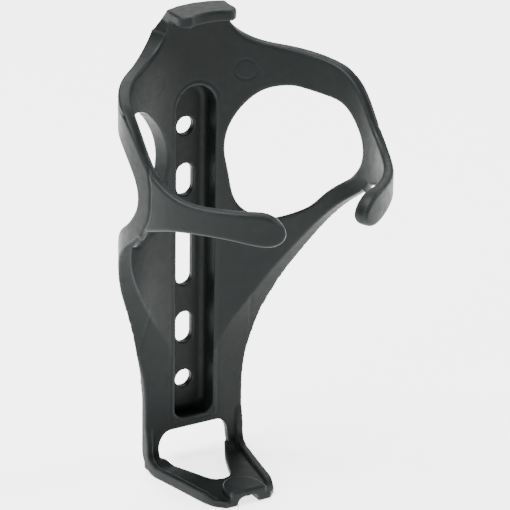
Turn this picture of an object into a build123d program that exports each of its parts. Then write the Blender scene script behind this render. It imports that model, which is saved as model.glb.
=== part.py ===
from build123d import *
import os
from math import sin, cos, tan, hypot, radians

os.makedirs("parts", exist_ok=True)

# ---------------------------------------------------------------------------
# Water bottle cage, one moulding, drawn around the bottle axis.
# +Z runs up the bottle, +Y points at the bicycle frame, +X is the rider's right
# when the open side faces -Y. Angles are measured from +Y towards +X.
# Everything is moved at the end so that the origin is the middle of the bolt
# pattern on the face that sits on the frame.
# ---------------------------------------------------------------------------

# driving dimensions, mm
CRADLE_R = 35.8          # inner radius that holds the bottle
BACK_Y = 43.9            # bottle axis to the mounting face
SHEET_T = 2.4            # wall of the lower panel
SHELF_T = 2.0            # wall of the base
PANEL_Y = 35.2           # front face of the flat lower panel
PANEL_HALF_W = 16.6      # half width of the flat lower panel
SHELF_Z = -63.2          # shelf the bottle stands on
BEND_R = 5.0             # inner bend between panel and shelf
NOSE_Y = 2.4             # front face of the base
OUTER_R = 39.4           # outer radius of the wings' lower band

CHANNEL_HALF_W = 6.6     # half width of the bolt channel
CHANNEL_TOP = 54.6
CHANNEL_BOTTOM = -50.1
CHANNEL_FLOOR_Y = 41.5   # face the bolt heads sit on
SPINE_FRONT_HALF_W = 9.3
SPINE_BACK_HALF_W = 8.8
SPINE_BOTTOM = -53.2
NECK_BACK_Y = 42.0       # back of the thick neck beside the spine

HOLE_Z = 40.4            # outer round holes
HOLE_D = 5.6
SLOT_Z = 23.6            # inner slots
SLOT_LENGTH = 10.0
LONG_SLOT_LENGTH = 20.0
SLOT_W = 5.5

HOOK_TOP = 79.0
HOOK_UNDER = 75.6
NECK_Z = 70.0            # neck starts here
NECK_STEP_Z = 72.4       # the curved back ends here and the neck goes on alone

ROOT_DEG = 28.0          # wing root seam
ARM_END_DEG = 76.0       # arm and strut meet the corner web
CORNER_END_DEG = 98.0    # corner web meets the finger
TIP_START_DEG = 148.0    # finger meets the fingertip
EDGE_R = 0.9             # rounding of the wing edges
SEAM_GAP = 0.3           # clearance of the flexing root seam
LOWER_CUT_Z = -57.6      # lower panel meets the legs
CREASE_CUT_Z = -28.0     # back panel meets the flat lower panel
WING_LOW_Z = -26.0       # wing seam turns level here
SPLIT_Z = 36.0           # a level inside the big opening
STOP_CUT_Y = 18.2        # legs meet the centre stop
BACK_T = 4.2             # wall between the bottle and the channel


def at(radius, degrees, z):
    a = radians(degrees)
    return (radius * sin(a), radius * cos(a), z)


def radial_point(distance, middle, degrees, z):
    """Point on the radial line at this angle, on a plane square to the middle angle."""
    m = radians(middle)
    side = distance * tan(radians(degrees - middle))
    return (distance * sin(m) + side * cos(m), distance * cos(m) - side * sin(m), z)


def radial_prism(outline, middle, near=18.0, far=48.0, slope=0.0):
    """Solid whose walls run straight out from the bottle axis; its lowest edge may slope down outwards."""
    rings = []
    for distance in (near, far):
        edges = []
        for kind, points in outline:
            fall = [slope * (distance - CRADLE_R) * min(max((22 - z) / 10, 0), 1) for a, z in points]
            spots = [radial_point(distance, middle, a, z - f) for (a, z), f in zip(points, fall)]
            if kind == "loop":
                edges.append(Edge.make_spline(spots, periodic=True))
            elif kind == "curve":
                edges.append(Edge.make_spline(spots))
            else:
                for first, second in zip(spots[:-1], spots[1:]):
                    edges.append(Edge.make_line(first, second))
        rings.append(Wire(edges))
    return Solid.make_loft(rings, ruled=True)


def side_face(edges):
    return Face(Wire(edges))


def box_between(x0, x1, y0, y1, z0, z1):
    centre = ((x0 + x1) / 2, (y0 + y1) / 2, (z0 + z1) / 2)
    return Pos(*centre) * Box(x1 - x0, y1 - y0, z1 - z0)


def rounded(shape, radius, keep):
    """Round every edge that the test keeps; the test sees the edge's box, middle and length."""
    chosen = [e for e in shape.edges() if keep(e.bounding_box(), e @ 0.5, e.length)]
    return fillet(chosen, radius)


def mirrored(shape):
    return shape.mirror(Plane.YZ)


def wedge(start, end, z0=-80.0, z1=90.0, reach=70.0):
    """Everything between two angles round the bottle axis, right-hand side."""
    middle = (start + end) / 2
    half = (end - start) / 2
    corners = [(0, 0), at(reach / cos(radians(half)), start, 0)[:2],
               at(reach / cos(radians(half)), end, 0)[:2]]
    lines = [Edge.make_line((*corners[i], z0), (*corners[(i + 1) % 3], z0)) for i in range(3)]
    return extrude(side_face(lines), amount=z1 - z0, dir=(0, 0, 1))


# ---------------------------------------------------------------------------
# Cradle wall: plan of the right wing, thick at the back and thin at the finger
# ---------------------------------------------------------------------------
WALL = [(0, 6.2), (9, 6.3), (17, 6.2), (22, 5.6), (28, 4.8), (35, 4.1), (45, 4.0), (53, 3.9), (62, 3.7),
        (75, 3.4), (81, 3.0), (88, 2.5), (97, 2.2), (112, 2.1), (127, 2.4), (140, 2.7), (151, 3.0),
        (160, 3.2), (168, 3.3)]

outer_edge = Edge.make_spline([at(CRADLE_R + t, a, 0) for a, t in WALL])
inner_edge = Edge.make_three_point_arc(at(CRADLE_R, 168, 0), at(CRADLE_R, 84, 0), at(CRADLE_R, 0, 0))
end_edge = Edge.make_line(at(CRADLE_R + WALL[-1][1], 168, 0), at(CRADLE_R, 168, 0))
start_edge = Edge.make_line(at(CRADLE_R, 0, 0), at(CRADLE_R + WALL[0][1], 0, 0))
plan = side_face([outer_edge, end_edge, inner_edge, start_edge])
wall = Pos(0, 0, -60) * extrude(plan, amount=140, dir=(0, 0, 1))

# angle and height of the outlines, right wing
TOP_EDGE = [(14.6, 80), (15.4, 76), (16.3, 73), (17.5, 71), (19.2, 69.3), (21.7, 67.9), (25.8, 66.6),
            (30.2, 65.8), (36, 65.2), (43, 64.8), (50, 64.2), (58, 63.5), (65, 62.7), (71, 61.8),
            (76, 60.5), (80, 59.0), (85, 56.5), (90, 53.1), (95, 49.7), (100, 47.2)]
LOWER_EDGE = [(100, 31.4), (95, 29.7), (90, 27.6), (86.5, 25), (82, 20), (76, 12), (68, 1), (58, -13),
              (45, -26), (36, -33), (26, -40)]
FINGER_TOP = [(100, 47.2), (105, 45.5), (110, 44.2), (116, 43.3), (122, 42.9), (132, 42.8),
              (142, 42.8), (149, 42.7), (153.5, 42.3), (157, 41.2), (159.6, 39.5), (161, 37.3), (160.8, 35.1),
              (159.2, 33.5), (156.4, 32.8), (152.5, 32.9), (147, 33.5), (140, 34.3), (130, 34.7),
              (120, 34.4), (110, 33.4), (100, 31.4)]
OPENING = [(50, 53.2), (58, 52.5), (66, 51.9), (72, 51.4), (77.5, 49.6), (82, 46.8), (85.6, 43.6),
           (87.3, 40.2), (87.2, 36.6), (85.2, 33.2), (81, 30), (76, 27.2), (70, 24.9), (61.3, 20.8),
           (51.2, 16), (41.6, 12.6), (34.5, 11.4), (28.5, 12.2), (24, 14.6), (20, 18.3), (17, 23),
           (15.2, 29), (15.3, 35), (17.4, 40.6), (21, 44.9), (26, 48.7), (32, 51.5), (40, 53)]

arm_part = radial_prism([("curve", TOP_EDGE), ("line", [(100, 47.2), (100, 31.4)]),
                         ("curve", LOWER_EDGE), ("line", [(26, -40), (0, -40), (0, 80), (14.6, 80)])], 52)
finger_part = radial_prism([("curve", FINGER_TOP), ("line", [(100, 31.4), (100, 47.2)])], 130)
opening = radial_prism([("loop", OPENING)], 52, slope=0.7)

# ---------------------------------------------------------------------------
# Lower sheet: shelf, bend, flat panel and the flare that follows the crease
# ---------------------------------------------------------------------------
# angle and height of the crease where the round cradle meets the flat front of the lower band
CREASE = [(11, -28.3), (20, -19.9), (28.5, -12.8), (36, -6.1), (44, 0.4), (51.5, 6.4), (57, 10.6),
          (61.5, 13.8), (67, 17.3), (73, 20.6), (79, 23.4), (84, 25.5), (88.6, 27.2)]


def crease_point(i, out):
    """Side view of the crease, moved out along its own normal."""
    y, z = (CRADLE_R * cos(radians(CREASE[i][0])), CREASE[i][1])
    before = CREASE[max(i - 1, 0)]
    after = CREASE[min(i + 1, len(CREASE) - 1)]
    dy = CRADLE_R * (cos(radians(after[0])) - cos(radians(before[0])))
    dz = after[1] - before[1]
    n = hypot(dy, dz)
    return (0, y + out * dz / n, z - out * dy / n)


def sheet_run(out):
    """Side profile of the sheet, moved out from its front face."""
    bend_y = PANEL_Y - BEND_R
    bend_z = SHELF_Z + BEND_R
    floor_z = SHELF_Z - out * SHELF_T / SHEET_T
    corner = (0, bend_y + (PANEL_Y + out - bend_y) * sin(radians(45)),
              bend_z - (bend_z - floor_z) * cos(radians(45)))
    curve = [(0, PANEL_Y + out, -37.0), (0, PANEL_Y + out, -33.0)]
    curve += [crease_point(i, out) for i in range(1, len(CREASE))]
    return [Edge.make_line((0, NOSE_Y, floor_z), (0, bend_y, floor_z)),
            Edge.make_three_point_arc((0, bend_y, floor_z), corner, (0, PANEL_Y + out, bend_z)),
            Edge.make_line((0, PANEL_Y + out, bend_z), curve[0]),
            Edge.make_spline(curve)]


def across(face, half=50):
    """Extrude a side profile both ways from the middle plane."""
    return Pos(-half, 0, 0) * extrude(face, amount=2 * half, dir=(1, 0, 0))


def closed(points):
    """Face with straight sides."""
    loop = points + points[:1]
    return side_face([Edge.make_line(a, b) for a, b in zip(loop[:-1], loop[1:])])


front_run = sheet_run(0)
back_run = sheet_run(SHEET_T)
sheet_ends = [Edge.make_line(run_a @ at_end, run_b @ at_end) for run_a, run_b, at_end in
              ((front_run[0], back_run[0], 0), (front_run[-1], back_run[-1], 1))]
sheet = across(side_face(front_run + back_run + sheet_ends))

# space above and behind the front of the sheet, where the cradle wall is allowed
low_end = tuple(front_run[0] @ 0)
high_end = tuple(front_run[-1] @ 1)
far_corners = [high_end, (0, high_end[1], 90), (0, 60, 90), (0, 60, low_end[2]), low_end]
behind_ends = [Edge.make_line(a, b) for a, b in zip(far_corners[:-1], far_corners[1:])]
behind_sheet = across(side_face(front_run + behind_ends))
behind_sheet = behind_sheet + box_between(-50, 50, -60, high_end[1], high_end[2] - 6, 90)
# the bottle meets the sheet only above the foot of the crease
bottle = Pos(0, 0, 35) * Cylinder(CRADLE_R, 130)

# front view of the sheet: half width at each height, wider than the cradle's outside at the top
FLARE_EDGE = [(PANEL_HALF_W, -46), (16.7, -41), (17.2, -36), (18.1, -31.5), (19.4, -27), (21.2, -21),
              (23.6, -15), (27, -8)]


def front_view(points_curve, extra):
    edges = [Edge.make_spline([(x, 0, z) for x, z in points_curve])]
    for (x0, z0), (x1, z1) in zip(extra[:-1], extra[1:]):
        edges.append(Edge.make_line((x0, 0, z0), (x1, 0, z1)))
    return side_face(edges)


front_outline = front_view(FLARE_EDGE, [(27, -8), (50, -8), (50, 90), (0, 90), (0, -70), (PANEL_HALF_W, -70),
                                        (PANEL_HALF_W, -46)])
front_half = Pos(0, -60, 0) * extrude(front_outline, amount=120, dir=(0, 1, 0))

# ---------------------------------------------------------------------------
# Base: two legs, window between them, raised rim and the centre stop
# ---------------------------------------------------------------------------
LEG_OUTER = [(16.6, 35.0), (16.2, 31.5), (15.3, 27), (13.7, 19.2), (12.4, 12.5), (11.2, 7.6), (10.0, 4.9)]
LEG_INNER = [(11.2, 36.5), (9.7, 33.4), (8.4, 31.0), (7.2, 28.3), (6.0, 25.4), (4.8, 22.4), (3.4, 19.3),
             (2.0, 17.9)]
NOSE_HALF_W = 7.4
RIM_W = 2.0
RIM_H = 1.2
STOP_TOP = -60.5
STOP_HALF_W = 6.1
STOP_BACK_Y = 12.2
NOTCH_HALF_W = 3.5
NOTCH_TOP = -62.8
NOTCH_DEPTH = 7.0
WINDOW_TOP = -53.3
WINDOW_STEP_Z = -61.7    # the window is wider above this height


def top_view(points_curve, rest, z0, z1):
    """Upright prism: one smooth edge and straight sides, seen from above."""
    edges = [Edge.make_spline([(x, y, z0) for x, y in points_curve])]
    for (x0, y0), (x1, y1) in zip(rest[:-1], rest[1:]):
        edges.append(Edge.make_line((x0, y0, z0), (x1, y1, z0)))
    return extrude(side_face(edges), amount=z1 - z0, dir=(0, 0, 1))


def base_outline(inset, z0, z1):
    curve = [(x - inset, y) for x, y in LEG_OUTER]
    first = curve[0]
    last = curve[-1]
    rest = [last, (NOSE_HALF_W - inset, NOSE_Y), (0, NOSE_Y), (0, 50), (first[0], 50), first]
    return top_view(curve, rest, z0, z1)


base_half = base_outline(0, -70, -56)
sheet_low = sheet & box_between(0, 40, -5, 50, -70, -56) & base_half & front_half
sheet_mid = sheet & box_between(0, 40, -5, 50, -56, -35) & front_half
outer_limit = Pos(0, 0, 5) * Cylinder(OUTER_R, 80)
sheet_high = sheet & box_between(0, 40, -5, 50, -35, 0) & front_half & outer_limit
half_sheet = (sheet_low + sheet_mid + sheet_high) - bottle

# window: one cut through the panel, one through the shelf
WINDOW_SIDE = [(8.0, WINDOW_TOP), (10.1, -54.2), (11.4, -56.2), (11.8, -58.5), (11.8, WINDOW_STEP_Z)]
window_front = front_view(WINDOW_SIDE, [WINDOW_SIDE[-1], (0, WINDOW_STEP_Z), (0, WINDOW_TOP), WINDOW_SIDE[0]])
window_front = Pos(0, 28, 0) * extrude(window_front, amount=20, dir=(0, 1, 0))
shelf_corners = [LEG_INNER[-1], (0, 17.4), (0, 40), (11.2, 40), LEG_INNER[0]]
window_shelf = top_view(LEG_INNER, shelf_corners, -72, WINDOW_STEP_Z)

# raised rim along the outer edge of each leg, running up into the panel
rim_low_z = SHELF_Z + RIM_H
rim_front = PANEL_Y - RIM_H
rim_bend = BEND_R - RIM_H
rim_centre = (PANEL_Y - BEND_R, SHELF_Z + BEND_R)
rim_corner = (0, rim_centre[0] + rim_bend * sin(radians(45)), rim_centre[1] - rim_bend * cos(radians(45)))
rim_side = side_face([
    Edge.make_line((0, 6.0, SHELF_Z), (0, 9.5, rim_low_z)),
    Edge.make_line((0, 9.5, rim_low_z), (0, rim_centre[0], rim_low_z)),
    Edge.make_three_point_arc((0, rim_centre[0], rim_low_z), rim_corner, (0, rim_front, rim_centre[1])),
    Edge.make_spline([(0, rim_front, rim_centre[1]), (0, rim_front + 0.1, -56.5), (0, PANEL_Y, -50)]),
    Edge.make_line((0, PANEL_Y, -50), (0, PANEL_Y + 1, -50)),
    Edge.make_line((0, PANEL_Y + 1, -50), (0, PANEL_Y + 1, SHELF_Z - 1)),
    Edge.make_line((0, PANEL_Y + 1, SHELF_Z - 1), (0, 6.0, SHELF_Z - 1)),
    Edge.make_line((0, 6.0, SHELF_Z - 1), (0, 6.0, SHELF_Z))])
rim_band = base_outline(0, -70, -49) - base_outline(RIM_W, -71, -48)
rim = across(rim_side) & rim_band & front_half

# centre stop that sits in the hollow under the bottle, open underneath
stop_curve = [(STOP_HALF_W, 5.0, -64), (5.6, 8.2, -64), (3.6, 11.0, -64), (0, STOP_BACK_Y, -64)]
stop_edges = [Edge.make_spline(stop_curve),
              Edge.make_line((0, STOP_BACK_Y, -64), (0, NOSE_Y, -64)),
              Edge.make_line((0, NOSE_Y, -64), (STOP_HALF_W, NOSE_Y, -64)),
              Edge.make_line((STOP_HALF_W, NOSE_Y, -64), (STOP_HALF_W, 5.0, -64))]
stop_half = extrude(side_face(stop_edges), amount=STOP_TOP + 64, dir=(0, 0, 1))
stop_half = rounded(stop_half, 0.8, lambda b, m, n: b.min.Z > STOP_TOP - 0.01 and m.X > 0.5)
notch_edges = [Edge.make_line((0, 0, -70), (NOTCH_HALF_W, 0, -70)),
               Edge.make_line((NOTCH_HALF_W, 0, -70), (NOTCH_HALF_W, 0, -64.4)),
               Edge.make_spline([(NOTCH_HALF_W, 0, -64.4), (2.6, 0, -63.2), (0, 0, NOTCH_TOP)]),
               Edge.make_line((0, 0, NOTCH_TOP), (0, 0, -70))]
notch = extrude(side_face(notch_edges), amount=NOSE_Y + NOTCH_DEPTH, dir=(0, 1, 0))

base_half_solid = half_sheet + rim
base_half_solid = base_half_solid - window_front - window_shelf
base_half_solid = base_half_solid + stop_half - notch

# ---------------------------------------------------------------------------
# Spine: box behind the panel with the bolt channel sunk into its front
# ---------------------------------------------------------------------------
spine_side = closed([(0, 37, SPINE_BOTTOM), (0, BACK_Y - 2.5, SPINE_BOTTOM), (0, BACK_Y, SPINE_BOTTOM + 2.5),
                     (0, BACK_Y, NECK_Z), (0, 37, NECK_Z)])
spine_plan = closed([(0, 33, -80), (SPINE_FRONT_HALF_W, 33, -80), (SPINE_BACK_HALF_W, BACK_Y + 1, -80),
                     (0, BACK_Y + 1, -80)])
spine_half = across(spine_side) & extrude(spine_plan, amount=180, dir=(0, 0, 1))
spine_half = rounded(spine_half, 0.5, lambda b, m, n: m.X > 7 and b.min.Y > 37.2 and b.max.Z - b.min.Z > 5)


def channel_cut():
    """Bolt channel: round top, square bottom with rounded corners, ramped lower end."""
    w = CHANNEL_HALF_W
    top = CHANNEL_TOP - w
    low = CHANNEL_BOTTOM
    r = 3.4
    c = r * (1 - sin(radians(45)))
    y = 30.0
    loop = [Edge.make_three_point_arc((-w, y, top), (0, y, CHANNEL_TOP), (w, y, top)),
            Edge.make_line((w, y, top), (w, y, low + r)),
            Edge.make_three_point_arc((w, y, low + r), (w - c, y, low + c), (w - r, y, low)),
            Edge.make_line((w - r, y, low), (r - w, y, low)),
            Edge.make_three_point_arc((r - w, y, low), (c - w, y, low + c), (-w, y, low + r)),
            Edge.make_line((-w, y, low + r), (-w, y, top))]
    cut = extrude(side_face(loop), amount=CHANNEL_FLOOR_Y - y, dir=(0, 1, 0))
    floor_edges = cut.faces().sort_by(Axis.Y)[-1].edges()
    return fillet(floor_edges, 2.0)


def upright_slot(z, length, width):
    """Through slot in the channel floor; a round hole when both sizes match."""
    if length - width < 0.01:
        return Pos(0, BACK_Y - 1, z) * Rot(90, 0, 0) * Cylinder(width / 2, 12)
    body = Pos(0, BACK_Y - 1, z) * Box(width, 12, length - width)
    for side in (-1, 1):
        body += Pos(0, BACK_Y - 1, z + side * (length - width) / 2) * Rot(90, 0, 0) * Cylinder(width / 2, 12)
    return body


channel = channel_cut()
bolt_openings = upright_slot(0, LONG_SLOT_LENGTH, SLOT_W)
for side in (-1, 1):
    bolt_openings += upright_slot(side * HOLE_Z, HOLE_D, HOLE_D)
    bolt_openings += upright_slot(side * SLOT_Z, SLOT_LENGTH, SLOT_W)

# ---------------------------------------------------------------------------
# Top hook: lip over the bottle's neck groove, on a neck that slopes forward
# ---------------------------------------------------------------------------
HOOK_SIDE_X = 9.5
HOOK_CORNER_Y = 26.9
HOOK_CENTRE_Y = 28.6
HOOK_BACK_SIDE_Y = 36.2
HOOK_BACK_CENTRE_Y = 38.5


def hook_edge(points, z):
    return Edge.make_three_point_arc(*[(x, y, z) for x, y in points])


def hook_prism(z0, z1):
    """Plan of the hook: hollow front, round back, rounded front corners."""
    back_mid = (HOOK_SIDE_X / 2, HOOK_BACK_CENTRE_Y - 0.6)
    edges = [hook_edge([(0, HOOK_CENTRE_Y), (3.2, HOOK_CENTRE_Y - 0.4), (6.3, HOOK_CORNER_Y)], z0),
             hook_edge([(6.3, HOOK_CORNER_Y), (8.6, 27.9), (HOOK_SIDE_X, 30.2)], z0),
             Edge.make_line((HOOK_SIDE_X, 30.2, z0), (HOOK_SIDE_X, HOOK_BACK_SIDE_Y, z0)),
             hook_edge([(HOOK_SIDE_X, HOOK_BACK_SIDE_Y), back_mid, (0, HOOK_BACK_CENTRE_Y)], z0),
             Edge.make_line((0, HOOK_BACK_CENTRE_Y, z0), (0, HOOK_CENTRE_Y, z0))]
    return extrude(side_face(edges), amount=z1 - z0, dir=(0, 0, 1))


hook_half = hook_prism(HOOK_UNDER, HOOK_TOP)
hook_half = rounded(hook_half, 0.8, lambda b, m, n: b.max.Z - b.min.Z < 0.01 and m.X > 0.05 and m.Y < 35)
# the neck tapers from the full depth of the back to the hook's back edge; plan at four heights
NECK_PLANS = [(NECK_Z, [(0, 33), (11.2, 33), (13.3, 40.2), (9.4, NECK_BACK_Y), (0, BACK_Y)]),
              (NECK_STEP_Z, [(0, 33), (10.2, 33), (11.9, 39.9), (9.2, 41.8), (0, BACK_Y - 0.7)]),
              (75.4, [(0, 33), (9.5, 33), (9.6, 39.3), (6.2, 40.6), (0, 41.2)]),
              (HOOK_TOP, [(0, 33), (HOOK_SIDE_X, 33), (HOOK_SIDE_X, HOOK_BACK_SIDE_Y), (5.0, 37.9),
                          (0, HOOK_BACK_CENTRE_Y)])]
neck_faces = [closed([(x, y, z) for x, y in corners]) for z, corners in NECK_PLANS]
neck_steps = [loft(neck_faces[i:i + 2], ruled=True) for i in range(3)]
neck_half = neck_steps[0] + neck_steps[1] + neck_steps[2] - bottle

# ---------------------------------------------------------------------------
# Right half of the cradle, then the nodes cut from it
# ---------------------------------------------------------------------------
cradle = (wall & arm_part) + (wall & finger_part) - opening
cradle = rounded(cradle, EDGE_R, lambda b, m, n: n > 15 and b.max.X > 18 and b.max.Z - b.min.Z > 1)
cradle = cradle & behind_sheet & front_half & box_between(-1, 60, -60, 60, -40, NECK_STEP_Z)
# the back thins down towards the lower panel
thin_back = closed([(0, 37.4, -41), (0, 42.6, 8), (0, 55, 8), (0, 55, -41)])
cradle = cradle - across(thin_back)
half_gap = SEAM_GAP / 2
gap_slab = Rot(0, 0, -ROOT_DEG) * box_between(-half_gap, half_gap, 5, 80, WING_LOW_Z - half_gap, 90)
wing_side = wedge(ROOT_DEG, 176) & box_between(-10, 70, -70, 70, WING_LOW_Z, 90)
level_box = box_between(-10, 70, -70, 70, WING_LOW_Z - half_gap, WING_LOW_Z + half_gap)
level_gap = wedge(ROOT_DEG, 90) & level_box

whole_half = cradle + base_half_solid
wing = (whole_half & wing_side) - gap_slab - level_gap
channel_walls = spine_half - Cylinder(CRADLE_R + BACK_T, 240)
root = whole_half - wing_side - gap_slab - level_gap - channel_walls

arm = wing & wedge(ROOT_DEG - 1, ARM_END_DEG) & box_between(-10, 70, -70, 70, SPLIT_Z, 90)
strut = wing & wedge(ROOT_DEG - 1, ARM_END_DEG) & box_between(-10, 70, -70, 70, -60, SPLIT_Z)
corner = wing & wedge(ARM_END_DEG, CORNER_END_DEG)
finger = wing & wedge(CORNER_END_DEG, TIP_START_DEG)
fingertip = wing & wedge(TIP_START_DEG, 176)


def both(half):
    return half + mirrored(half)


back_panel = both(root & box_between(-1, 70, -70, 70, CREASE_CUT_Z, NECK_Z)) - channel
lower_panel = both(root & box_between(-1, 70, -70, 70, LOWER_CUT_Z, CREASE_CUT_Z)) - channel
base_leg = root & box_between(0, 70, STOP_CUT_Y, 70, -70, LOWER_CUT_Z)
base_stop = both(root & box_between(-1, 70, -70, STOP_CUT_Y, -70, LOWER_CUT_Z))
mounting_channel = both(spine_half - root) - channel - bolt_openings
top_hook = both((root & box_between(-1, 70, -70, 70, NECK_Z, 90)) + neck_half + hook_half)

nodes = {
    "back_panel": back_panel,
    "lower_panel": lower_panel,
    "mounting_channel": mounting_channel,
    "top_hook": top_hook,
    "base_stop": base_stop,
}
for side, make in (("right", lambda s: s), ("left", mirrored)):
    nodes[side + "_base_leg"] = make(base_leg)
    nodes[side + "_upper_arm"] = make(arm)
    nodes[side + "_lower_strut"] = make(strut)
    nodes[side + "_wing_corner"] = make(corner)
    nodes[side + "_finger"] = make(finger)
    nodes[side + "_fingertip"] = make(fingertip)

for name, shape in nodes.items():
    moved = Pos(0, -BACK_Y, 0) * shape
    export_step(moved, "parts/" + name + ".step")
    print(name, len(moved.solids()), round(moved.volume, 1), moved.is_valid)
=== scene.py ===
"""A water bottle cage in charcoal moulded nylon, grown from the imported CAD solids.

The solids are joined, rounded and detailed as one moulding, then cut into the named members again, so that
the plastic looks continuous and the wings can still bend on their joints. Lengths are in metres unless a
comment says otherwise.
"""

import math

import bmesh
import bpy
import numpy as np
from mathutils import Matrix, Vector


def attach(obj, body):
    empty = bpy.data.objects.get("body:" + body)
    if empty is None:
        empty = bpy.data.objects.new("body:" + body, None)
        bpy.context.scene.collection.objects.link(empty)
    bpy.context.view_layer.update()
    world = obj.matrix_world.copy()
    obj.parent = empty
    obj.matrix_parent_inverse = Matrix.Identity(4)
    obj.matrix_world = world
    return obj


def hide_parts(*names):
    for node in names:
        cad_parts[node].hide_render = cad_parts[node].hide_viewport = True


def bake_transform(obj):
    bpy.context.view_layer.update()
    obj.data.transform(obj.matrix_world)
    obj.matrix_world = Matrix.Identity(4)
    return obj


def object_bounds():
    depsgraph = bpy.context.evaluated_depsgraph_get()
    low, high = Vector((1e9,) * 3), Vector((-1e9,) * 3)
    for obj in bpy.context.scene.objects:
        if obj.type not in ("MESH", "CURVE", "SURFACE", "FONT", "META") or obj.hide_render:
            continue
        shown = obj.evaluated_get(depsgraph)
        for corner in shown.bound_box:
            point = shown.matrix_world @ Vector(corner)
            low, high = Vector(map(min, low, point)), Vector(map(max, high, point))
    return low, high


MM = 0.001

# sizes in mm, heights above the middle of the bolt pattern
AXIS_Y = -43.9           # bottle axis
CRADLE_R = 35.8          # inner radius of the cradle
SKIN_R = 38.5            # outer radius of the thin part of the wings
SEAM_GAP = 0.3           # gap of the CAD seam at the root
SEAM_LEVEL = -26.0       # height where that seam turns level
SEAM_REACH = 0.02        # how near to the seam a point lies on it
VOXEL = 0.3              # grid of the joined mesh
CHANNEL_HALF_W = 6.6     # mounting channel
CHANNEL_TOP = 54.6
CHANNEL_BOTTOM = -50.1

# where the moulding is cut: heights and depth in mm, degrees round the bottle from the bicycle side
HOOK_CUT = 70.0
BACK_CUT = 22.0
PANEL_CUT = -28.0
LEG_CUT = -57.6
NOSE_CUT = 18.2          # in front of this lies the nose, measured from the bottle axis
ARM_CUT = 36.0           # between arm and strut, inside the big opening
ROOT_DEG = 28.0
CORNER_DEG = 76.0
FINGER_DEG = 98.0
TIP_DEG = 148.0
CAP = 1                  # material index that marks the faces of a cut until the piece is shaded

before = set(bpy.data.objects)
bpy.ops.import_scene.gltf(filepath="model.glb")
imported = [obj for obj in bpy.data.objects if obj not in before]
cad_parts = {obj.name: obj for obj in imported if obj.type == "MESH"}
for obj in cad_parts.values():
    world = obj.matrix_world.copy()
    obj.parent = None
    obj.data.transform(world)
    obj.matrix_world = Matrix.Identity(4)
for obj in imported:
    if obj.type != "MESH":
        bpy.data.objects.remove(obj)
cad_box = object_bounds()
scene = bpy.context.scene


# ---------------------------------------------------------------------------
# Camera, floor and light
# ---------------------------------------------------------------------------
def add_camera():
    """The camera looks down on the cage from its open side, over the left wing."""
    turn = math.radians(31.006)
    drop = math.radians(23.507)
    roll = math.radians(0.91)
    distance = 1.0
    forward = Vector((math.sin(turn) * math.cos(drop), math.cos(turn) * math.cos(drop), -math.sin(drop)))
    right = Vector((math.cos(turn), -math.sin(turn), 0))
    up = right.cross(forward)
    across = math.cos(roll) * right + math.sin(roll) * up
    upward = math.cos(roll) * up - math.sin(roll) * right
    data = bpy.data.cameras.new("camera")
    data.sensor_width = 36
    data.lens = 246.76
    data.shift_x = -0.0025
    data.shift_y = 0.0945
    data.clip_start = 0.05
    data.clip_end = 20
    camera = bpy.data.objects.new("camera", data)
    scene.collection.objects.link(camera)
    turned = Matrix((across, upward, -forward)).transposed().to_4x4()
    middle = Vector((0, AXIS_Y * MM, 0))
    camera.matrix_world = Matrix.Translation(middle - distance * forward) @ turned
    scene.camera = camera


def add_floor():
    """A wide white sheet under the cage."""
    low = cad_box[0].z
    half = 4.0
    corners = [(-half, -half, low), (half, -half, low), (half, half, low), (-half, half, low)]
    mesh = bpy.data.meshes.new("floor")
    mesh.from_pydata(corners, [], [(0, 1, 2, 3)])
    floor = bpy.data.objects.new("floor", mesh)
    scene.collection.objects.link(floor)
    material = bpy.data.materials.new("floor_paint")
    material.use_nodes = True
    shader = material.node_tree.nodes["Principled BSDF"]
    shader.inputs["Base Color"].default_value = (0.95, 0.95, 0.95, 1)
    shader.inputs["Roughness"].default_value = 0.9
    shader.inputs["Specular IOR Level"].default_value = 0.1
    shader.inputs["Emission Color"].default_value = (1, 1, 1, 1)
    shader.inputs["Emission Strength"].default_value = 2.5
    mesh.materials.append(material)


def add_area(name, place, target, size, power):
    data = bpy.data.lights.new(name, "AREA")
    data.size = size
    data.energy = power
    lamp = bpy.data.objects.new(name, data)
    lamp.location = place
    lamp.rotation_mode = "QUATERNION"
    lamp.rotation_quaternion = (Vector(target) - Vector(place)).to_track_quat("-Z", "Y")
    scene.collection.objects.link(lamp)


def add_lights():
    """Soft lights from the right, the left, above and behind, and a pale sky."""
    world = bpy.data.worlds.new("studio")
    scene.world = world
    world.use_nodes = True
    world.node_tree.nodes["Background"].inputs["Color"].default_value = (1, 1, 1, 1)
    world.node_tree.nodes["Background"].inputs["Strength"].default_value = 0.25
    add_area("key", (1.1, -0.2, 0.7), (0, -0.04, 0.0), 0.4, 12)
    add_area("top", (-0.35, 0.1, 1.1), (0, -0.04, 0.0), 0.5, 30)
    add_area("back", (0.42, 0.72, 0.72), (0, -0.04, 0.0), 0.8, 7)
    add_area("left", (-1.0, -0.3, 0.45), (0, -0.04, 0.02), 0.35, 5)


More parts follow.
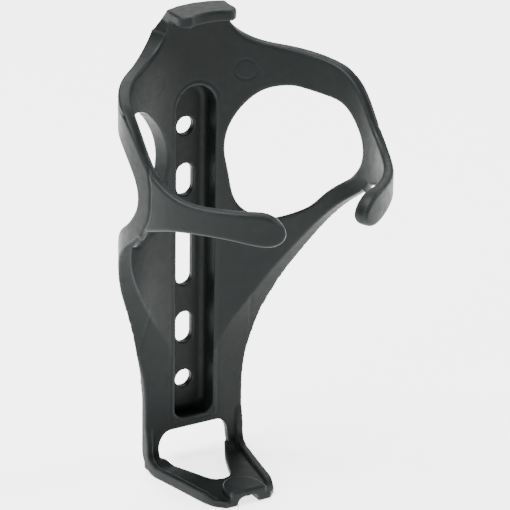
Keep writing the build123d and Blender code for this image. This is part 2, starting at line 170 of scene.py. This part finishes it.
# ---------------------------------------------------------------------------
# Material
# ---------------------------------------------------------------------------
def nylon():
    """Satin charcoal plastic: fine moulded grain, uneven gloss, a painted highlight that makes the sharp
    outer edges paler, specks of dust.
    """
    material = bpy.data.materials.new("nylon")
    material.use_nodes = True
    tree = material.node_tree
    shader = tree.nodes["Principled BSDF"]
    place = tree.nodes.new("ShaderNodeTexCoord")

    def noise(scale, detail, roughness):
        node = tree.nodes.new("ShaderNodeTexNoise")
        node.inputs["Scale"].default_value = scale
        node.inputs["Detail"].default_value = detail
        node.inputs["Roughness"].default_value = roughness
        tree.links.new(place.outputs["Object"], node.inputs["Vector"])
        return node.outputs["Fac"]

    def ranged(value, low, high, to_low, to_high):
        node = tree.nodes.new("ShaderNodeMapRange")
        node.clamp = True
        node.inputs["From Min"].default_value = low
        node.inputs["From Max"].default_value = high
        node.inputs["To Min"].default_value = to_low
        node.inputs["To Max"].default_value = to_high
        tree.links.new(value, node.inputs["Value"])
        return node.outputs["Result"]

    def mixed(factor, low, high):
        node = tree.nodes.new("ShaderNodeMix")
        node.data_type = "RGBA"
        tree.links.new(factor, node.inputs["Factor"])
        for socket, colour in ((node.inputs[6], low), (node.inputs[7], high)):
            if isinstance(colour, tuple):
                socket.default_value = colour
            else:
                tree.links.new(colour, socket)
        return node.outputs[2]

    def maths(kind, a, b):
        node = tree.nodes.new("ShaderNodeMath")
        node.operation = kind
        for socket, value in zip(node.inputs, (a, b)):
            if isinstance(value, (int, float)):
                socket.default_value = value
            else:
                tree.links.new(value, socket)
        return node.outputs[0]

    cloud = noise(45, 3, 0.5)
    mottle = noise(420, 4, 0.6)
    grain = noise(3800, 2, 0.5)
    speck = noise(1500, 5, 0.75)
    # painted highlight: the edge attribute, broken up by the mottle, mixes a paler grey into the sharp outer
    # edges
    shape = tree.nodes.new("ShaderNodeAttribute")
    shape.attribute_name = "painted_edge_highlight"
    highlight_amount = maths("MULTIPLY", shape.outputs["Fac"], ranged(mottle, 0.35, 0.65, 0.45, 1.0))
    dark, charcoal = (0.0050, 0.0068, 0.0064, 1), (0.0070, 0.0092, 0.0088, 1)
    # dust is a real grey; the second colour is the painted edge highlight
    dust, highlight_grey = (0.028, 0.032, 0.031, 1), (0.032, 0.036, 0.037, 1)
    base = mixed(ranged(cloud, 0.3, 0.7, 0.0, 1.0), dark, charcoal)
    dusted = mixed(ranged(speck, 0.62, 0.80, 0.0, 0.30), base, dust)
    colour = mixed(highlight_amount, dusted, highlight_grey)
    tree.links.new(colour, shader.inputs["Base Color"])
    gloss = maths("ADD", ranged(mottle, 0.3, 0.7, 0.40, 0.52), ranged(grain, 0.3, 0.7, -0.03, 0.03))
    tree.links.new(gloss, shader.inputs["Roughness"])
    shader.inputs["Specular IOR Level"].default_value = 0.12
    bump = tree.nodes.new("ShaderNodeBump")
    bump.inputs["Strength"].default_value = 0.22
    bump.inputs["Distance"].default_value = 0.00012
    height = maths("ADD", maths("MULTIPLY", grain, 0.7), maths("MULTIPLY", mottle, 0.8))
    tree.links.new(height, bump.inputs["Height"])
    tree.links.new(bump.outputs["Normal"], shader.inputs["Normal"])
    return material


# ---------------------------------------------------------------------------
# One moulding from the CAD solids. Work is in mm, round the bottle axis.
# ---------------------------------------------------------------------------
def read_all(items, what, kind, width=1):
    """One property of every item, as an array, with a row per item where it is a vector."""
    values = np.empty(len(items) * width, kind)
    items.foreach_get(what, values)
    return values.reshape(-1, width) if width > 1 else values


def node_points(name):
    """Points of a CAD node, in mm round the bottle axis, with the root seam of a wing closed."""
    points = read_all(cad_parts[name].data.vertices, "co", np.float64, 3) / MM
    points[:, 1] -= AXIS_Y
    wing_words = ("arm", "strut", "corner", "finger")
    if any(word in name for word in wing_words):
        side = -1 if name.startswith("left") else 1
        root = math.radians(ROOT_DEG)
        ahead = np.array([side * math.cos(root), -math.sin(root), 0])
        overlap = SEAM_GAP + 0.1
        on_root = np.abs(points @ ahead - SEAM_GAP / 2) < SEAM_REACH
        on_level = np.abs(points[:, 2] - SEAM_LEVEL - SEAM_GAP / 2) < SEAM_REACH
        points[on_root] -= overlap * ahead
        points[on_level, 2] -= overlap
    return points


def joined_solids():
    """Every CAD node in one mesh object, round the bottle axis."""
    points, faces, count = [], [], 0
    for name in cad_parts:
        own = node_points(name)
        points.append(own)
        faces += [[count + i for i in p.vertices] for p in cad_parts[name].data.polygons]
        count += len(own)
    mesh = bpy.data.meshes.new("solids")
    mesh.from_pydata(np.vstack(points).tolist(), [], faces)
    solids = bpy.data.objects.new("solids", mesh)
    scene.collection.objects.link(solids)
    return solids


def remeshed(solids):
    """An even closed mesh over the joined solids."""
    skin = solids.modifiers.new("skin", "REMESH")
    skin.mode = "VOXEL"
    skin.voxel_size = VOXEL
    bpy.context.view_layer.update()
    shaped = solids.evaluated_get(bpy.context.evaluated_depsgraph_get())
    mesh = bpy.data.meshes.new_from_object(shaped)
    bpy.data.objects.remove(solids)
    return mesh


def neighbour_mean(values, edges):
    """Mean of a value over the neighbours of every vertex."""
    a, b = edges.T
    size = len(values)
    count = np.bincount(np.concatenate([a, b]), minlength=size)
    return (np.bincount(a, values[b], size) + np.bincount(b, values[a], size)) / count


def smoothed(points, edges, rounds=10, shrink=0.6, swell=-0.42):
    """Soften a mesh; every second step swells, so that it keeps its size."""
    for turn in range(rounds):
        mean = np.stack([neighbour_mean(points[:, axis], edges) for axis in range(3)], axis=1)
        points = points + (shrink if turn % 2 == 0 else swell) * (mean - points)
    return points


def point_normals(mesh):
    return read_all(mesh.vertices, "normal", np.float32, 3).astype(float)


def set_points(mesh, points):
    mesh.vertices.foreach_set("co", points.astype(np.float32).ravel())
    mesh.update()


def line_distance(u, v, line):
    """Distance of the points (u, v) to a chain of straight pieces."""
    best = np.full(len(u), 1e9)
    for (u0, v0), (u1, v1) in zip(line[:-1], line[1:]):
        du, dv = u1 - u0, v1 - v0
        along = np.clip(((u - u0) * du + (v - v0) * dv) / (du * du + dv * dv), 0, 1)
        best = np.minimum(best, np.hypot(u - u0 - along * du, v - v0 - along * dv))
    return best


def bell(distance, width):
    return np.exp(-(distance / width) ** 2)


def round_bottle(points):
    """Distance from the bottle axis, and degrees round it from the bicycle side, the same for both wings."""
    x, y = points[:, 0], points[:, 1]
    return np.hypot(x, y), np.degrees(np.arctan2(np.abs(x), y))


def shape_cradle(points):
    """The fingers close in a little, and the fingertips are thick."""
    radius, degrees = round_bottle(points)
    inward = np.interp(degrees, [66, 80, 92, 108, 128, 145, 153, 162], [0, 0.4, 0.6, 0.7, 0.8, 0.6, 1.3, 1.5])
    wall = np.interp(degrees, [61, 75, 81, 88, 97, 112, 127, 140, 151, 168],
                     [3.8, 3.4, 3.0, 2.5, 2.2, 2.1, 2.4, 2.7, 3.0, 3.3])
    depth = np.clip((CRADLE_R + wall - radius) / wall, 0, 1)
    # the lower band keeps its place, so that the small gap beside the finger stays clear
    above_band = np.clip((points[:, 2] - 26.5) / 4.5, 0, 1)
    shift = np.where(degrees > 60, inward * depth * above_band, 0)
    points = points.copy()
    points[:, :2] *= (1 - shift / radius)[:, None]
    # the finger's lower edge runs flatter into the corner
    low = np.clip((35 - points[:, 2]) / 6, 0, 1) * (points[:, 2] > 22)
    points[:, 2] += 1.4 * bell(degrees - 93, 5.5) * low
    return points


def finger_step(points, normals):
    """Groove where the finger leaves the outside of the arm."""
    radius, degrees = round_bottle(points)
    outwards = np.sum(normals[:, :2] * points[:, :2], axis=1) / radius
    line = [(61.4, 61.2), (77.6, 60.2), (88.5, 56.4), (94.9, 51.3), (97.7, 44), (97.4, 37.1), (95.7, 33.7),
            (91.1, 28.8)]
    line = [(math.radians(angle) * SKIN_R, level) for angle, level in line]
    away = line_distance(np.radians(degrees) * SKIN_R, points[:, 2], line)
    return -0.30 * bell(away, 0.42) * np.clip(outwards * 2 - 0.6, 0, 1) * (degrees > 55)


def back_marks(points, normals):
    """Lip round the mounting channel, and the marks of the ejector pins beside it."""
    x, y, z = points.T
    beside = np.maximum(np.abs(x) - CHANNEL_HALF_W, 0)
    arch = CHANNEL_TOP - CHANNEL_HALF_W
    over = np.hypot(x, np.maximum(z - arch, 0)) - CHANNEL_HALF_W
    rim = np.where(z < CHANNEL_BOTTOM, np.hypot(beside, CHANNEL_BOTTOM - z), beside)
    rim = np.where(z > arch, over, rim)
    height = (0.09 * bell(rim - 0.6, 0.4) - 0.05 * bell(rim - 1.6, 0.4)) * (rim > 0)
    pins = ((14.85, 58.1, 3.0, 0.10), (-14.85, 58.1, 3.0, 0.04), (12.2, -36.5, 2.6, 0.05),
            (-12.2, -36.5, 2.6, 0.05))
    for pin_x, pin_z, pin_r, depth in pins:
        height -= depth * bell(np.hypot(x - pin_x, z - pin_z) - pin_r, 0.3)
    facing = np.clip(-normals[:, 1] * 2 - 0.8, 0, 1)
    return height * facing * (y > 29) * (z < 68)


def arm_mark(points, normals):
    """Shallow pin mark inside each arm."""
    radius, degrees = round_bottle(points)
    inwards = -np.sum(normals[:, :2] * points[:, :2], axis=1) / radius
    mark_deg, mark_z, mark_r = 44.0, 59.2, 1.9
    off = np.hypot(np.radians(degrees - mark_deg) * SKIN_R, points[:, 2] - mark_z) - mark_r
    return -0.03 * bell(off, 0.25) * np.clip(inwards * 2 - 0.8, 0, 1)


def parting_line(points, normals):
    """Faint mould parting line along the top and bottom edges of the wings."""
    radius, degrees = round_bottle(points)
    middle = np.interp(degrees, [20, 35, 53, 75, 88, 112, 140, 160],
                       [38.6, 37.8, 37.7, 37.5, 36.9, 36.5, 36.7, 36.6])
    upright = np.clip(np.abs(normals[:, 2]) * 2 - 1, 0, 1)
    on_wing = (degrees > 34) & (points[:, 2] > 15)
    return 0.07 * bell(radius - middle, 0.22) * upright * on_wing


def painted_edge_highlight(points, normals, edges):
    """Mask of the painted edge highlight: 0 on flat and hollow skin, 1 on the sharpest outer edges."""
    a, b = edges.T
    size = len(points)
    count = np.bincount(np.concatenate([a, b]), minlength=size)
    step = points[a] - points[b]
    bulge = np.bincount(a, np.sum(step * normals[a], axis=1), size)
    bulge -= np.bincount(b, np.sum(step * normals[b], axis=1), size)
    bulge = bulge / count
    for _ in range(3):
        bulge = 0.5 * bulge + 0.5 * neighbour_mean(bulge, edges)
    flat, sharp = 0.008, 0.043
    return np.clip((bulge - flat) / (sharp - flat), 0, 1)


def moulding():
    """The whole cage as one closed mesh, with its shading normals and the mask of a painted edge highlight as
    attributes.
    """
    mesh = remeshed(joined_solids())
    edges = read_all(mesh.edges, "vertices", np.int32, 2)
    points = shape_cradle(smoothed(read_all(mesh.vertices, "co", np.float32, 3).astype(float), edges))
    set_points(mesh, points)
    normals = point_normals(mesh)
    height = sum(detail(points, normals) for detail in (finger_step, back_marks, arm_mark, parting_line))
    points = points + normals * height[:, None]
    points[:, 1] += AXIS_Y
    set_points(mesh, points * MM)
    normals = point_normals(mesh)
    shading = mesh.attributes.new("whole_normal", "FLOAT_VECTOR", "POINT")
    shading.data.foreach_set("vector", normals.astype(np.float32).ravel())
    # mask of the painted edge highlight, read by the material
    highlight_layer = mesh.attributes.new("painted_edge_highlight", "FLOAT", "POINT")
    highlight_layer.data.foreach_set("value", painted_edge_highlight(points, normals, edges).astype(np.float32))
    return mesh


# ---------------------------------------------------------------------------
# Cutting the moulding into its named members
# ---------------------------------------------------------------------------
def turn_plane(degrees, side):
    """Plane through the bottle axis; it keeps what is further round the bottle on that side."""
    a = math.radians(degrees)
    return Vector((0, AXIS_Y * MM, 0)), Vector((side * math.cos(a), -math.sin(a), 0))


def above(height):
    return Vector((0, 0, height * MM)), Vector((0, 0, 1))


def flipped(plane):
    spot, facing = plane
    return spot, -facing


def below(height):
    return flipped(above(height))


def cut_piece(mesh, planes):
    """The part of the mesh on the positive side of every plane, with flat caps on the cuts."""
    work = bmesh.new()
    work.from_mesh(mesh)
    for spot, facing in planes:
        geometry = work.verts[:] + work.edges[:] + work.faces[:]
        result = bmesh.ops.bisect_plane(work, geom=geometry, dist=1e-7, plane_co=spot, plane_no=facing,
                                        clear_inner=True, clear_outer=False)
        rim = [item for item in result["geom_cut"] if isinstance(item, bmesh.types.BMEdge)]
        rim = [edge for edge in rim if edge.is_valid and edge.is_boundary]
        if rim:
            filled = bmesh.ops.triangle_fill(work, edges=rim, use_dissolve=False, use_beauty=True,
                                             normal=-facing)
            for item in filled["geom"]:
                if isinstance(item, bmesh.types.BMFace):
                    item.material_index = CAP
    return work


def finished(name, work, material):
    """A mesh object from the cut, shaded like the whole moulding except on the caps."""
    mesh = bpy.data.meshes.new(name)
    work.to_mesh(mesh)
    work.free()
    smooth = read_all(mesh.attributes["whole_normal"].data, "vector", np.float32, 3)
    corner = read_all(mesh.loops, "vertex_index", np.int32)
    sides = read_all(mesh.polygons, "loop_total", np.int32)
    on_cap = np.repeat(read_all(mesh.polygons, "material_index", np.int32) == CAP, sides)
    flat = np.repeat(read_all(mesh.polygons, "normal", np.float32, 3), sides, axis=0)
    normals = np.where(on_cap[:, None], flat, smooth[corner])
    mesh.polygons.foreach_set("use_smooth", np.ones(len(mesh.polygons), bool))
    mesh.polygons.foreach_set("material_index", np.zeros(len(mesh.polygons), np.int32))
    mesh.normals_split_custom_set(normals.tolist())
    mesh.attributes.remove(mesh.attributes["whole_normal"])
    mesh.materials.append(material)
    piece = bpy.data.objects.new(name, mesh)
    scene.collection.objects.link(piece)
    return piece


def fixed_members():
    """Cuts and CAD nodes of the pieces on the bicycle side."""
    right = (Vector((0, 0, 0)), Vector((1, 0, 0)))
    behind = (Vector((0, (NOSE_CUT + AXIS_Y) * MM, 0)), Vector((0, 1, 0)))
    between_wings = [flipped(turn_plane(ROOT_DEG, 1)), flipped(turn_plane(ROOT_DEG, -1))]
    back_nodes = ["back_panel", "mounting_channel"]
    return {
        "hook": ([above(HOOK_CUT)] + between_wings, ["top_hook"]),
        "upper_back": ([above(BACK_CUT), below(HOOK_CUT)] + between_wings, back_nodes),
        "middle_back": ([above(PANEL_CUT), below(BACK_CUT)] + between_wings, back_nodes),
        "lower_back": ([below(PANEL_CUT), above(LEG_CUT)], ["lower_panel", "mounting_channel"]),
        "nose": ([below(LEG_CUT), flipped(behind)], ["base_stop"]),
        "leg_right": ([below(LEG_CUT), behind, right], ["right_base_leg"]),
        "leg_left": ([below(LEG_CUT), behind, flipped(right)], ["left_base_leg"]),
    }


def wing_members(side):
    """Cuts of the pieces of one wing; their names are those of the CAD nodes, without the side."""
    half = (Vector((0, 0, 0)), Vector((side, 0, 0)))
    root, corner = turn_plane(ROOT_DEG, side), turn_plane(CORNER_DEG, side)
    finger, tip = turn_plane(FINGER_DEG, side), turn_plane(TIP_DEG, side)
    return {
        "upper_arm": [half, root, flipped(corner), above(ARM_CUT)],
        "lower_strut": [half, root, flipped(corner), below(ARM_CUT), above(PANEL_CUT)],
        "wing_corner": [half, corner, flipped(finger)],
        "finger": [half, finger, flipped(tip), above(0.0)],
        "fingertip": [half, tip, above(0.0)],
    }


def build_cage(material):
    whole = moulding()
    for name, (planes, nodes) in fixed_members().items():
        piece = finished(name, cut_piece(whole, planes), material)
        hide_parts(*nodes)
        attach(piece, "frame_side")
    for side_name, side in (("right", 1), ("left", -1)):
        body = side_name + "_wing"
        for member, planes in wing_members(side).items():
            node = side_name + "_" + member
            piece = finished("skin_" + node, cut_piece(whole, planes), material)
            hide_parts(node)
            if member in ("upper_arm", "lower_strut"):
                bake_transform(piece)
            else:
                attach(piece, body)
    bpy.data.meshes.remove(whole)


add_camera()
add_floor()
add_lights()
build_cage(nylon())
